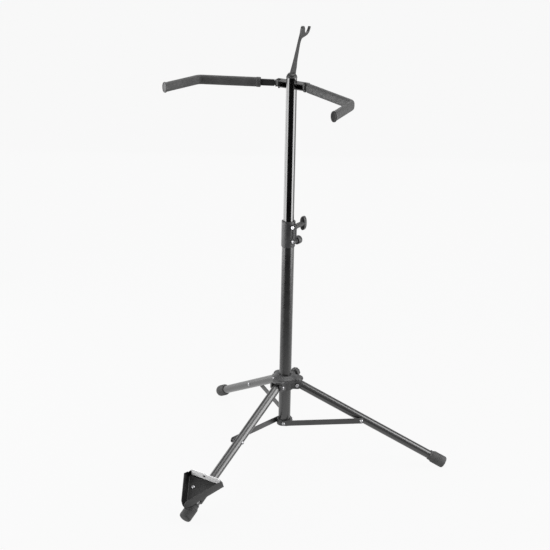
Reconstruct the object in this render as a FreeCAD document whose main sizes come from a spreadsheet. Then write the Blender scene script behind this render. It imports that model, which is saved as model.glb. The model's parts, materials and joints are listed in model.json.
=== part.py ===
import FreeCAD, Part
import math
import os
import re

import Sketcher
from FreeCAD import Placement, Rotation, Vector

# Tripod stand for a large string instrument, in millimetres.
# The column stands on +Z with its axis through the origin, the floor is z = 0,
# and the front leg, which carries the spike tray, points along -Y.

DIMENSIONS = [
    # column
    ("lower_tube_od", 35), ("lower_tube_wall", 2), ("lower_tube_bottom", 119), ("lower_tube_top", 722),
    ("upper_tube_od", 30), ("upper_tube_wall", 1.5), ("upper_tube_bottom", 396), ("column_top", 1156),
    ("bush_length", 30), ("bush_lip", 3), ("fit_gap", 0.05), ("face_gap", 0.1),
    # leg geometry
    ("leg_od", 25), ("leg_wall", 1.5), ("hub_pivot_radius", 37), ("hub_pivot_height", 247),
    ("foot_radius", 465), ("foot_axis_height", 18.8), ("leg_tube_start", 14), ("leg_tube_end", 487),
    ("spigot_length", 30), ("bolt_radius", 3), ("head_radius", 4.9), ("head_height", 3.2),
    ("nut_radius", 5.6), ("nut_height", 4.5), ("spacer_radius", 5.7), ("thread_end", 1),
    # rubber feet
    ("foot_mouth", 447), ("foot_tip", 499), ("foot_mouth_radius", 14.8), ("foot_tip_radius", 17.6),
    ("foot_round", 6), ("foot_ring", 5),
    # hub that slides on the lower tube
    ("hub_core_radius", 26), ("hub_below_pivot", 16), ("hub_above_pivot", 28), ("lobe_offset", 33),
    ("lobe_radius", 20), ("lobe_underside", 7.5), ("lobe_top", 19), ("lobe_round", 4),
    ("hub_side_distance", 32), ("crown_radius", 36), ("crown_top_radius", 24), ("cheek_width", 37),
    ("cheek_radius", 12), ("slot_width", 25.8), ("slot_start", 23.6), ("slot_roof", 13.2),
    ("hub_boss_radius", 9), ("hub_boss_end", 37), ("hub_knob_rise", 13), ("hub_screw_radius", 4),
    ("hub_knob_start", 40), ("hub_knob_length", 20), ("hub_knob_radius", 14.5), ("hub_screw_end", 56),
    # struts and the spider under the lower tube
    ("strut_on_leg", 216.4), ("strut_inner_height", 123.2), ("strut_face", 20), ("strut_thickness", 3),
    ("strut_width", 16), ("spider_bottom", 114), ("spider_height", 17), ("spider_flat", 19.9),
    ("spider_reach", 22), ("strut_bolt_inner", 17.8),
    # clamp collar
    ("collar_bottom", 670), ("collar_height", 76), ("collar_radius", 19.6), ("collar_step", 722.2),
    ("collar_round", 1.6),
    ("screw_offset", 21.5), ("ear_half_width", 7.7), ("ear_radius", 7.5), ("rib_reach", 24.5),
    ("rib_half_width", 6), ("slit_width", 2), ("clamp_height", 732), ("anchor_height", 689),
    ("neck_radius", 7.2), ("neck_end", 37), ("knob_thickness", 12), ("knob_core_radius", 8.6),
    ("wing_reach", 14), ("wing_radius", 6.5), ("screw_tail", 13.5),
    ("cap_nut_radius", 12), ("cap_nut_length", 13), ("cap_nut_dome", 8), ("cap_nut_sphere", 13.5),
    # head: bracket, arms, plug and bow hook
    ("arm_height", 1134.6), ("mast_yaw", 2.9), ("arm_pivot_x", 42.2), ("arm_pivot_y", 2.3),
    ("arm_angle", 25.6), ("arm_bend", 55.6), ("arm_straight", 221.5), ("arm_end_run", 134.3),
    ("arm_bend_radius", 20), ("bar_thickness", 6), ("bar_height", 18), ("eye_radius", 8),
    ("eye_height", 13), ("shoulder", 12),
    ("flange_thickness", 2.5), ("flange_front", 7.7), ("flange_end_radius", 10), ("web_half_length", 47),
    ("web_thickness", 2.5), ("bracket_bolt_radius", 2.5), ("bracket_bolt_spread", 5),
    ("bracket_bolt_tip", 12.3), ("sleeve_height", 26), ("sleeve_width", 16),
    ("sleeve_start_left", 50), ("sleeve_start_right", 15), ("end_cap_height", 29.5),
    ("end_cap_width", 18), ("end_cap_thickness", 4),
    ("plug_depth", 13), ("plug_rim_height", 3), ("spigot_radius", 7), ("hook_base_radius", 14),
    ("hook_base_height", 9), ("hook_neck_radius", 9), ("hook_thickness", 6.4),
    # spike tray and its clamp on the front leg
    ("tray_station", 414), ("tray_shift", 3), ("tray_inradius", 35), ("tray_rise", 24),
    ("sheet", 2), ("wall_height", 30), ("wall_lean", 8), ("wall_chamfer", 9), ("back_lip_height", 27),
    ("corner_cut", 18), ("back_plate_lift", 7), ("back_plate_inset", 20), ("tray_head_radius", 5.8),
    ("pad_thickness", 1.5), ("pad_inradius", 30), ("pad_hole_radius", 7.5), ("tray_bolt_offset", 18),
    ("clamp_length", 40), ("clamp_radius", 16.5), ("clamp_outer_side", 26), ("clamp_inner_side", 10),
    ("clamp_depth", 12), ("clamp_slit", 2), ("rivet_radius", 2.4), ("rivet_head_radius", 4.2),
    ("rivet_head_height", 1.6), ("rivet_rise", 20.5),
]

doc = FreeCAD.newDocument("InstrumentStand")
sheet = doc.addObject("Spreadsheet::Sheet", "Dimensions")
for row, (alias, value) in enumerate(DIMENSIONS, start=1):
    sheet.set("A%d" % row, alias)
    sheet.set("B%d" % row, str(value))
    sheet.setAlias("B%d" % row, alias)
doc.recompute()

ALIASES = {alias for alias, value in DIMENSIONS}
SIDES = {"front": -90.0, "right": 30.0, "left": 150.0}
NODES = []


def size(alias):
    """Value of one cell of the sheet."""
    return float(sheet.get(alias))


def formula(text):
    """Expression text in which each alias names its cell."""
    def full_name(match):
        word = match.group(0)
        return "Dimensions." + word if word in ALIASES else word
    return re.sub(r"[a-z_]+", full_name, str(text))


def bind(item, **properties):
    for name, text in properties.items():
        item.setExpression(name, formula(text))


# ---------------------------------------------------------------- building blocks

def primitive(kind, placement=None, **properties):
    item = doc.addObject("Part::" + kind, kind)
    bind(item, **properties)
    if placement is not None:
        item.Placement = placement
    return item


def cylinder(radius, height, placement=None):
    return primitive("Cylinder", placement, Radius=radius, Height=height)


def box(length, width, height, placement=None):
    return primitive("Box", placement, Length=length, Width=width, Height=height)


def fuse(pieces):
    if len(pieces) == 1:
        return pieces[0]
    item = doc.addObject("Part::MultiFuse", "Fuse")
    item.Shapes = pieces
    item.Refine = True
    return item


def cut(base, tools):
    item = doc.addObject("Part::Cut", "Cut")
    item.Base = base
    item.Tool = fuse(tools)
    return item


def common(first, second):
    item = doc.addObject("Part::MultiCommon", "Common")
    item.Shapes = [first, second]
    return item


def group(pieces):
    item = doc.addObject("Part::Compound", "Group")
    item.Links = pieces
    return item


def node(label, item, placement=None):
    """Finish one sub-part: its label names its file."""
    item.Label = label
    if placement is not None:
        item.Placement = placement.multiply(item.Placement)
    NODES.append(item)
    return item


def at(x=0.0, y=0.0, z=0.0, axis=None):
    """Placement at a point, with local +Z turned to the given axis."""
    turn = Rotation() if axis is None else Rotation(Vector(0, 0, 1), Vector(*axis))
    return Placement(Vector(x, y, z), turn)


def spin(degrees):
    return Placement(Vector(), Rotation(Vector(0, 0, 1), degrees))


def origin_plane(body, role):
    for feature in body.Origin.OriginFeatures:
        if feature.Role == role:
            return feature
    raise ValueError(role)


def sketch_in(body, role, offset=None):
    drawing = body.newObject("Sketcher::SketchObject", "Sketch")
    drawing.AttachmentSupport = [(origin_plane(body, role), "")]
    drawing.MapMode = "FlatFace"
    if offset is not None:
        drawing.AttachmentOffset = offset
    return drawing


def pin_point(drawing, edge, end, x_text, y_text):
    """Hold one sketch point at coordinates given by formulas."""
    for kind, text in (("DistanceX", x_text), ("DistanceY", y_text)):
        index = drawing.addConstraint(Sketcher.Constraint(kind, -1, 1, edge, end, 1.0))
        drawing.setExpression("Constraints[%d]" % index, formula(text))


def number(text):
    """Present value of a formula."""
    return float(sheet.evalExpression(formula(text)))


def outline(drawing, points):
    """Closed polygon whose corners are given by pairs of formulas."""
    corners = [Vector(number(x), number(y), 0) for x, y in points]
    count = len(corners)
    for index in range(count):
        drawing.addGeometry(Part.LineSegment(corners[index], corners[(index + 1) % count]), False)
    for index in range(count):
        drawing.addConstraint(Sketcher.Constraint("Coincident", index, 2, (index + 1) % count, 1))
    for index, (x, y) in enumerate(points):
        pin_point(drawing, index, 1, x, y)


def circle(drawing, x, y, radius):
    centre = Vector(number(x), number(y), 0)
    edge = drawing.addGeometry(Part.Circle(centre, Vector(0, 0, 1), number(radius)), False)
    index = drawing.addConstraint(Sketcher.Constraint("Radius", edge, number(radius)))
    drawing.setExpression("Constraints[%d]" % index, formula(radius))
    pin_point(drawing, edge, 3, x, y)


def pad(body, drawing, length, midplane=False):
    feature = body.newObject("PartDesign::Pad", "Pad")
    feature.Profile = drawing
    bind(feature, Length=length)
    feature.Midplane = midplane


def new_body(label):
    body = doc.addObject("PartDesign::Body", "Body")
    body.Label = label
    return body


def plate(points, thickness, holes=(), role="XY_Plane", offset=None, midplane=False, body=None):
    """Flat piece: a polygon with round holes, padded to its thickness."""
    body = body or new_body("plate")
    drawing = sketch_in(body, role, offset)
    outline(drawing, points)
    for x, y, radius in holes:
        circle(drawing, x, y, radius)
    pad(body, drawing, thickness, midplane)
    return body


def turned(points):
    """Round piece: a half section of (radius, height) pairs turned about +Z."""
    body = new_body("turned")
    drawing = sketch_in(body, "XZ_Plane")
    outline(drawing, points)
    feature = body.newObject("PartDesign::Revolution", "Revolution")
    feature.Profile = drawing
    feature.ReferenceAxis = (drawing, ["V_Axis"])
    feature.Angle = 360
    return body


def bolt(length, radius="bolt_radius", head="head_radius", height="head_height"):
    """Pan-head bolt: the shank runs along +Z from 0, the head lies below 0."""
    return turned([("0", "-" + height), ("0.62 * " + head, "-" + height), (head, "-0.45 * " + height),
                   (head, "0"), (radius, "0"), (radius, length), ("0", length)])


def hex_nut(radius, height, bore):
    prism = primitive("Prism", Circumradius=radius, Height=height)
    prism.Polygon = 6
    return cut(prism, [cylinder(bore, height)])


def is_rim(edge):
    """Whether an edge is a full circle at one end of a cylinder."""
    return len(edge.Vertexes) == 1


def is_top_rim(edge):
    return is_rim(edge) and edge.Vertexes[0].Z > 1


def rounded(item, radius, choose):
    """Fillet the edges that the test picks out."""
    doc.recompute()
    picked = [index for index, edge in enumerate(item.Shape.Edges, start=1) if choose(edge)]
    feature = doc.addObject("Part::Fillet", "Rounded")
    feature.Base = item
    feature.Edges = [(index, radius, radius) for index in picked]
    return feature


# ---------------------------------------------------------------- leg geometry

PIVOT_RADIUS = size("hub_pivot_radius")
PIVOT_HEIGHT = size("hub_pivot_height")
LEG_SLOPE = math.degrees(math.atan2(PIVOT_HEIGHT - size("foot_axis_height"),
                                    size("foot_radius") - PIVOT_RADIUS))


def side_frame(side):
    """Frame of one leg plane: +X outward along the leg, +Y to its left, +Z up."""
    return spin(SIDES[side])


def leg_frame(side):
    """Frame of one leg: origin at its hub pivot, +Z down the leg, +Y across it."""
    tilt = Rotation(Vector(0, 1, 0), 90.0 + LEG_SLOPE)
    return side_frame(side).multiply(Placement(Vector(PIVOT_RADIUS, 0, PIVOT_HEIGHT), tilt))


def leg_point(station):
    """Radius and height of the point of a leg's axis at a distance from its pivot."""
    slope = math.radians(LEG_SLOPE)
    return PIVOT_RADIUS + station * math.cos(slope), PIVOT_HEIGHT - station * math.sin(slope)


STRUT_OUTER = leg_point(size("strut_on_leg"))
STRUT_INNER = (0.0, size("strut_inner_height"))
STRUT_LENGTH = math.dist(STRUT_OUTER, STRUT_INNER)
STRUT_RISE = math.degrees(math.atan2(STRUT_OUTER[1] - STRUT_INNER[1], STRUT_OUTER[0]))


# ---------------------------------------------------------------- column

def make_column():
    lower = new_body("lower")
    drawing = sketch_in(lower, "XY_Plane")
    circle(drawing, "0", "0", "lower_tube_od / 2")
    circle(drawing, "0", "0", "lower_tube_od / 2 - lower_tube_wall")
    pad(lower, drawing, "lower_tube_top - lower_tube_bottom")
    node("lower_tube", lower, at(z=size("lower_tube_bottom")))

    prism = primitive("Prism", Circumradius="2 * spider_flat", Height="spider_height")
    prism.Polygon = 3
    block = common(prism, cylinder("spider_reach", "spider_height"))
    seat_level = size("lower_tube_bottom") - size("spider_bottom") - size("face_gap")
    seat = cylinder("lower_tube_od / 2 + fit_gap", "spider_height", at(z=seat_level))
    pin_height = size("strut_inner_height") - size("spider_bottom")
    holes = []
    for side in SIDES:
        hole = cylinder("bolt_radius + fit_gap", "spider_reach")
        hole.Placement = side_frame(side).multiply(at(0, 0, pin_height, axis=(0, -1, 0)))
        holes.append(hole)
    node("strut_spider", cut(block, [seat] + holes), at(z=size("spider_bottom")))

    bolts = []
    for side in SIDES:
        shank = bolt("strut_face + strut_thickness + face_gap - strut_bolt_inner")
        start = size("strut_face") + size("strut_thickness") + size("face_gap")
        place = at(0, -start, size("strut_inner_height"), axis=(0, 1, 0))
        shank.Placement = side_frame(side).multiply(place)
        bolts.append(shank)
    node("strut_inner_bolts", group(bolts))


# ---------------------------------------------------------------- clamp collar

def make_collar():
    bottom = size("collar_bottom")
    step = "collar_step - collar_bottom"
    shell = [rounded(cylinder("collar_radius", "collar_height"), size("collar_round"), is_rim)]
    for height in ("clamp_height", "anchor_height"):
        place = at(size("screw_offset"), -size("ear_half_width"), size(height) - bottom, axis=(0, 1, 0))
        shell.append(cylinder("ear_radius", "2 * ear_half_width", place))
        root = at(0, -size("ear_half_width"), size(height) - bottom - size("ear_radius"))
        shell.append(box("screw_offset", "2 * ear_half_width", "2 * ear_radius", root))
    rib = at(0, -size("rib_half_width"), size("anchor_height") - bottom)
    shell.append(box("rib_reach", "2 * rib_half_width", "clamp_height - anchor_height", rib))
    tools = [cylinder("lower_tube_od / 2 + fit_gap", step),
             cylinder("upper_tube_od / 2 + fit_gap", "collar_height"),
             box("collar_radius * 2", "slit_width", "collar_height", at(0, -size("slit_width") / 2, 0))]
    for height in ("clamp_height", "anchor_height"):
        place = at(size("screw_offset"), -size("collar_radius"), size(height) - bottom, axis=(0, 1, 0))
        tools.append(cylinder("bolt_radius + fit_gap", "2 * collar_radius", place))
    seats = (("clamp_height", 1, "neck_radius"), ("clamp_height", -1, "nut_radius"),
             ("anchor_height", -1, "head_radius"))
    for height, sign, radius in seats:
        place = at(size("screw_offset"), sign * size("ear_half_width"), size(height) - bottom,
                   axis=(0, sign, 0))
        tools.append(cylinder(radius + " + 2 * face_gap", "collar_radius", place))
    node("clamp_collar", cut(fuse(shell), tools), at(z=bottom))

    face = size("ear_half_width") + size("face_gap")
    clamp_at = (size("screw_offset"), size("clamp_height"))
    anchor_at = (size("screw_offset"), size("anchor_height"))
    nut = hex_nut("nut_radius", "nut_height", "bolt_radius + fit_gap")
    node("clamp_nut", nut, at(clamp_at[0], -face, clamp_at[1], axis=(0, -1, 0)))
    node("collar_anchor_bolt", bolt("2 * ear_half_width + cap_nut_length"),
         at(anchor_at[0], -face, anchor_at[1], axis=(0, 1, 0)))
    dome = common(cylinder("cap_nut_radius", "cap_nut_length + cap_nut_dome"),
                  primitive("Sphere", at(z=size("cap_nut_dome")), Radius="cap_nut_sphere"))
    barrel = at(-size("screw_offset"), -size("collar_radius"), -face, axis=(0, 1, 0))
    cap = cut(dome, [cylinder("bolt_radius + fit_gap", "cap_nut_length + 1"),
                     cylinder("collar_radius + face_gap", "2 * collar_radius", barrel)])
    node("collar_cap_nut", cap, at(anchor_at[0], face, anchor_at[1], axis=(0, 1, 0)))

    screw = cylinder("bolt_radius", "screw_tail + neck_end + knob_thickness / 2")
    node("clamp_screw", screw, at(clamp_at[0], -size("screw_tail"), clamp_at[1], axis=(0, 1, 0)))
    neck_start = size("ear_half_width") + 2 * size("face_gap")
    level = size("neck_end") - neck_start
    reach = size("wing_reach")
    knob = [cylinder("neck_radius", "neck_end - ear_half_width + 1"),
            cylinder("knob_core_radius", "knob_thickness", at(z=level)),
            box("2 * wing_radius", "2 * wing_reach", "knob_thickness",
                at(-size("wing_radius"), -reach, level))]
    for sign in (-1, 1):
        knob.append(cylinder("wing_radius", "knob_thickness", at(0, sign * reach, level)))
    solid = cut(fuse(knob), [cylinder("bolt_radius + fit_gap",
                                      "neck_end + knob_thickness / 2 - ear_half_width")])
    node("clamp_knob", solid, at(clamp_at[0], neck_start, clamp_at[1], axis=(0, 1, 0)))


# ---------------------------------------------------------------- sliding hub

def make_hub():
    base = PIVOT_HEIGHT - size("hub_below_pivot")
    height = "hub_below_pivot + hub_above_pivot"
    lobe_floor = size("hub_below_pivot") + size("lobe_underside")
    lobe_height = "lobe_top - lobe_underside"
    crown_floor = size("hub_below_pivot") + size("lobe_top")
    crown = primitive("Cone", at(z=crown_floor), Radius1="crown_radius", Radius2="crown_top_radius",
                      Height="hub_above_pivot - lobe_top")
    triangle = primitive("Prism", spin(SIDES["right"]), Circumradius="2 * hub_side_distance",
                         Height=lobe_height)
    triangle.Polygon = 3
    cap = common(triangle, cylinder("lobe_offset + lobe_radius / 2", lobe_height))
    cap.Placement = at(z=lobe_floor)
    shell = [cylinder("hub_core_radius", "hub_below_pivot + lobe_top"), crown, cap]
    for side in SIDES:
        lobe = cylinder("lobe_radius", lobe_height)
        lobe = rounded(lobe, size("lobe_round"), is_top_rim)
        lobe.Placement = side_frame(side).multiply(at(size("lobe_offset"), 0, lobe_floor))
        shell.append(lobe)
    tools = [cylinder("lower_tube_od / 2 + fit_gap", height)]
    for side in SIDES:
        frame = side_frame(side)
        half = size("cheek_width") / 2
        pivot = at(PIVOT_RADIUS, -half, size("hub_below_pivot"), axis=(0, 1, 0))
        cheek = cylinder("cheek_radius", "cheek_width")
        cheek.Placement = frame.multiply(pivot)
        web = box("hub_pivot_radius + cheek_radius", "cheek_width", "lobe_underside + 2")
        web.Placement = frame.multiply(at(0, -half, size("hub_below_pivot")))
        root = box("hub_pivot_radius", "cheek_width", "cheek_radius")
        root.Placement = frame.multiply(at(0, -half, size("hub_below_pivot") - size("cheek_radius")))
        shell += [cheek, web, root]
        slot = box("lobe_offset + lobe_radius", "slot_width", "hub_below_pivot + slot_roof")
        slot.Placement = frame.multiply(at(size("slot_start"), -size("slot_width") / 2, 0))
        pin = cylinder("bolt_radius + fit_gap", "2 * cheek_width")
        pin_start = at(PIVOT_RADIUS, -2 * half, size("hub_below_pivot"), axis=(0, 1, 0))
        pin.Placement = frame.multiply(pin_start)
        tools += [slot, pin]
    knob_height = size("hub_below_pivot") + size("hub_knob_rise")
    shell.append(cylinder("hub_boss_radius", "hub_boss_end", at(0, 0, knob_height, axis=(0, 1, 0))))
    tools.append(cylinder("hub_screw_radius + fit_gap", "2 * hub_boss_end",
                          at(0, 0, knob_height, axis=(0, 1, 0))))
    node("sliding_hub", cut(fuse(shell), tools), at(z=base))

    bolts = []
    nuts = []
    half = size("cheek_width") / 2 + size("face_gap")
    for side in SIDES:
        frame = side_frame(side)
        pin = bolt("cheek_width + nut_height + thread_end")
        pin.Placement = frame.multiply(at(PIVOT_RADIUS, half, PIVOT_HEIGHT, axis=(0, -1, 0)))
        bolts.append(pin)
        nut = hex_nut("nut_radius", "nut_height", "bolt_radius + fit_gap")
        nut.Placement = frame.multiply(at(PIVOT_RADIUS, -half, PIVOT_HEIGHT, axis=(0, -1, 0)))
        nuts.append(nut)
    node("leg_pivot_bolts", group(bolts))
    node("leg_pivot_nuts", group(nuts))

    height = PIVOT_HEIGHT + size("hub_knob_rise")
    start = size("lower_tube_od") / 2 + 3 * size("face_gap")
    screw = cylinder("hub_screw_radius", "hub_screw_end - lower_tube_od / 2")
    node("hub_lock_screw", screw, at(0, start, height, axis=(0, 1, 0)))
    grip = turned([("0", "hub_screw_end - hub_knob_start + 2"), ("hub_screw_radius + fit_gap",
                   "hub_screw_end - hub_knob_start + 2"), ("hub_screw_radius + fit_gap", "0"),
                   ("hub_screw_radius + 3", "0"), ("hub_screw_radius + 3", "4"),
                   ("hub_knob_radius - 1.5", "5"), ("hub_knob_radius", "7"),
                   ("hub_knob_radius", "hub_knob_length - 3"),
                   ("hub_knob_radius - 3", "hub_knob_length"), ("0", "hub_knob_length")])
    node("hub_lock_knob", grip, at(0, size("hub_knob_start"), height, axis=(0, 1, 0)))


# ---------------------------------------------------------------- legs, struts and feet

def cross_cylinder(radius, station):
    """Cylinder across a leg at a distance from its pivot, long enough to pass through."""
    return cylinder(radius, "2 * leg_od", at(0, -size("leg_od"), station, axis=(0, 1, 0)))


def make_leg(side):
    frame = leg_frame(side)
    tube_length = "leg_tube_end - leg_tube_start"
    hole_level = size("strut_on_leg") - size("leg_tube_start")
    tube = cut(cylinder("leg_od / 2", tube_length),
               [cylinder("leg_od / 2 - leg_wall", tube_length),
                cross_cylinder("bolt_radius + fit_gap", hole_level)])
    node(side + "_leg_tube", tube, frame.multiply(at(z=size("leg_tube_start"))))

    head_radius = "leg_od / 2 - face_gap"
    head_length = "leg_tube_start + leg_od / 2 - face_gap"
    head = common(cylinder(head_radius, head_length, at(z=-size("leg_od") / 2)),
                  fuse([cross_cylinder(head_radius, 0.0), cylinder("leg_od", "leg_od")]))
    spigot = cylinder("leg_od / 2 - leg_wall - fit_gap", "spigot_length + leg_tube_start")
    fitting = cut(fuse([head, spigot]), [cross_cylinder("bolt_radius + fit_gap", 0.0)])
    node(side + "_leg_fitting", fitting, frame)

    length = "foot_tip - foot_mouth"
    bore = "leg_od / 2 + fit_gap"
    depth = "leg_tube_end - foot_mouth + face_gap"
    boot = turned([(bore, "0"), ("foot_mouth_radius", "0"), ("foot_mouth_radius", "foot_ring"),
                   ("foot_tip_radius", "2.6 * foot_ring"), ("foot_tip_radius", length + " - foot_round"),
                   ("foot_tip_radius - 0.3 * foot_round", length + " - 0.3 * foot_round"),
                   ("foot_tip_radius - foot_round", length), ("0", length), ("0", depth), (bore, depth)])
    boot.Placement = frame.multiply(at(z=size("foot_mouth")))
    ground = box("4 * foot_tip", "4 * foot_tip", "foot_tip",
                 at(-2 * size("foot_tip"), -2 * size("foot_tip"), -size("foot_tip")))
    node(side + "_foot", cut(boot, [ground]))

    reach = size("leg_od") / 2 + size("face_gap")
    across = bolt("leg_od / 2 + strut_face")
    node(side + "_strut_bolt", across,
         frame.multiply(at(0, reach, size("strut_on_leg"), axis=(0, -1, 0))))
    spacer = cut(cylinder("spacer_radius", "strut_face - leg_od / 2 - 2 * face_gap"),
                 [cylinder("bolt_radius + fit_gap", "strut_face")])
    node(side + "_strut_spacer", spacer,
         frame.multiply(at(0, -reach, size("strut_on_leg"), axis=(0, -1, 0))))


def make_strut(side):
    """Flat bar between the spider and a leg, with its outer rivet."""
    bar = new_body("bar")
    drawing = sketch_in(bar, "XZ_Plane")
    half = size("strut_width") / 2
    ends = (0.0, STRUT_LENGTH)
    upper = Part.LineSegment(Vector(ends[0], half, 0), Vector(ends[1], half, 0))
    lower = Part.LineSegment(Vector(ends[1], -half, 0), Vector(ends[0], -half, 0))
    axis = Vector(0, 0, 1)
    outer = Part.ArcOfCircle(Part.Circle(Vector(ends[1], 0, 0), axis, half), -math.pi / 2, math.pi / 2)
    inner = Part.ArcOfCircle(Part.Circle(Vector(ends[0], 0, 0), axis, half), math.pi / 2, 1.5 * math.pi)
    for item in (upper, outer, lower, inner):
        drawing.addGeometry(item, False)
    for first, first_end, second, second_end in ((0, 2, 1, 2), (1, 1, 2, 1), (2, 2, 3, 2), (3, 1, 0, 1)):
        drawing.addConstraint(Sketcher.Constraint("Tangent", first, first_end, second, second_end))
    drawing.addConstraint(Sketcher.Constraint("Coincident", 3, 3, -1, 1))
    radius = drawing.addConstraint(Sketcher.Constraint("Radius", 3, half))
    drawing.setExpression("Constraints[%d]" % radius, formula("strut_width / 2"))
    drawing.addConstraint(Sketcher.Constraint("DistanceX", -1, 1, 1, 3, STRUT_LENGTH))
    drawing.addConstraint(Sketcher.Constraint("DistanceY", -1, 1, 1, 3, 0.0))
    for x in ends:
        circle(drawing, "%.9f" % x, "0", "bolt_radius + fit_gap")
    pad(bar, drawing, "strut_thickness")
    turn = Placement(Vector(), Rotation(Vector(0, 1, 0), -STRUT_RISE))
    frame = side_frame(side).multiply(at(0, -size("strut_face"), STRUT_INNER[1])).multiply(turn)
    node(side + "_strut", bar, frame)
    rivet = bolt("strut_thickness + face_gap")
    start = -size("strut_thickness") - size("face_gap")
    node(side + "_strut_rivet", rivet, frame.multiply(at(STRUT_LENGTH, start, 0, axis=(0, 1, 0))))


# ---------------------------------------------------------------- spike tray

def make_tray():
    radius, height = leg_point(size("tray_station"))
    base = Placement(Vector(0, -radius, height), Rotation(Vector(1, 0, 0), LEG_SLOPE))
    rise = size("tray_rise")
    tray = base.multiply(at(x=size("tray_shift"), z=rise))
    side_length = "2 * sqrt(3) * tray_inradius"
    half = "sqrt(3) * tray_inradius"
    bolt_x = "-tray_bolt_offset - tray_shift"

    body = plate([("-" + half, "tray_inradius"), ("0", "-2 * tray_inradius"), (half, "tray_inradius")],
                 "sheet", holes=[(bolt_x, "0", "bolt_radius + fit_gap")])
    walls = ((0.0, "back_lip_height", "corner_cut", "wall_chamfer"),
             (120.0, "wall_height", "wall_chamfer", "corner_cut"),
             (240.0, "wall_height", "wall_chamfer", "wall_chamfer"))
    lean = Rotation(Vector(1, 0, 0), 90.0 - size("wall_lean"))
    back_edge = Placement(Vector(0, size("tray_inradius"), 0), lean)
    for turn, tall, first_cut, last_cut in walls:
        stand = spin(turn).multiply(back_edge)
        wall = [("-" + half, "0"), (half, "0"), (half, tall + " - " + last_cut),
                (half + " - " + last_cut, tall), ("-" + half + " + " + first_cut, tall),
                ("-" + half, tall + " - " + first_cut)]
        holes = [("0", "rivet_rise", "rivet_radius + fit_gap")] if turn == 0.0 else []
        plate(wall, "sheet", holes=holes, offset=stand, body=body)
    node("tray_plate", body, tray)

    stand = back_edge.multiply(at(0, size("back_plate_lift"), size("sheet") + size("face_gap")))
    edge = half + " - 2.5 * sheet"
    tall = "wall_height - back_plate_lift"
    near_end = "-" + edge + " + back_plate_inset"
    back = plate([(near_end, "0"), (edge, "0"), (edge, tall + " - wall_chamfer / 2"),
                  (edge + " - wall_chamfer / 2", tall), (near_end + " + wall_chamfer / 3", tall)],
                 "sheet / 2", offset=stand,
                 holes=[("0", "rivet_rise - back_plate_lift", "rivet_radius + fit_gap")])
    node("tray_back_plate", back, tray)

    pad_edge = "sqrt(3) * pad_inradius"
    corners = [("-" + pad_edge, "pad_inradius"), ("0", "-2 * pad_inradius"), (pad_edge, "pad_inradius")]
    floor_pad = plate(corners, "pad_thickness", holes=[(bolt_x, "0", "pad_hole_radius")])
    node("tray_floor_pad", floor_pad, tray.multiply(at(z=size("sheet") + size("face_gap"))))

    length = "clamp_length"
    along = at(0, -size("clamp_length") / 2, 0, axis=(0, 1, 0))
    low = -size("clamp_length") / 2
    left = -size("clamp_outer_side")
    shell = [cylinder("clamp_radius", length, along),
             box("clamp_outer_side + clamp_radius", length, "tray_rise - face_gap", at(left, low, 0)),
             box("clamp_outer_side - clamp_inner_side", length, "clamp_depth",
                 at(left, low, -size("clamp_depth")))]
    tools = [cylinder("leg_od / 2 + fit_gap", length, along),
             box("clamp_outer_side", length, "clamp_slit", at(left, low, -size("clamp_slit") / 2)),
             cylinder("bolt_radius + fit_gap", "2 * clamp_length",
                      at(-size("tray_bolt_offset"), 0, -size("clamp_length")))]
    node("tray_clamp", cut(fuse(shell), tools), base)

    head_level = rise + size("sheet") + size("face_gap")
    spike_bolt = bolt("tray_rise + sheet + clamp_depth + nut_height + thread_end", head="tray_head_radius")
    place = at(-size("tray_bolt_offset"), 0, head_level, axis=(0, 0, -1))
    node("tray_bolt", spike_bolt, base.multiply(place))
    nut = hex_nut("nut_radius", "nut_height", "bolt_radius + fit_gap")
    node("tray_nut", nut, base.multiply(at(-size("tray_bolt_offset"), 0,
                                           -size("clamp_depth") - size("face_gap"), axis=(0, 0, -1))))
    rivet = bolt("2 * sheet", "rivet_radius", "rivet_head_radius", "rivet_head_height")
    place = tray.multiply(stand).multiply(at(0, size("rivet_rise") - size("back_plate_lift"),
                                             size("sheet") / 2 + size("face_gap"), axis=(0, 0, -1)))
    node("tray_rivet", rivet, place)


# ---------------------------------------------------------------- mast and head

def mast_frame():
    return spin(size("mast_yaw"))


def make_mast():
    inner = "upper_tube_od / 2 - upper_tube_wall"
    tools = [cylinder(inner, "column_top - upper_tube_bottom")]
    for sign in (-1, 1):
        level = size("arm_height") + sign * size("bracket_bolt_spread") - size("upper_tube_bottom")
        tools.append(cylinder("bracket_bolt_radius + fit_gap", "upper_tube_od",
                              at(0, 0, level, axis=(0, 1, 0))))
    tube = cut(cylinder("upper_tube_od / 2", "column_top - upper_tube_bottom"), tools)
    node("upper_tube", tube, mast_frame().multiply(at(z=size("upper_tube_bottom"))))

    bore = "lower_tube_od / 2 - lower_tube_wall - fit_gap"
    bush = turned([("upper_tube_od / 2 + fit_gap", "0"), (bore, "0"), (bore, "bush_length"),
                   ("upper_tube_od / 2 + fit_gap", "bush_length")])
    node("guide_bush", bush, at(z=size("upper_tube_bottom") + size("bush_lip")))

    rim = "upper_tube_od / 2 + 0.3"
    plug = turned([("spigot_radius + fit_gap", "-plug_depth"), (inner + " - fit_gap", "-plug_depth"),
                   (inner + " - fit_gap", "face_gap"), (rim, "face_gap"), (rim, "plug_rim_height - 1"),
                   (rim + " - 1", "plug_rim_height"), ("spigot_radius + fit_gap", "plug_rim_height")])
    node("tube_plug", plug, mast_frame().multiply(at(z=size("column_top"))))


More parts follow.
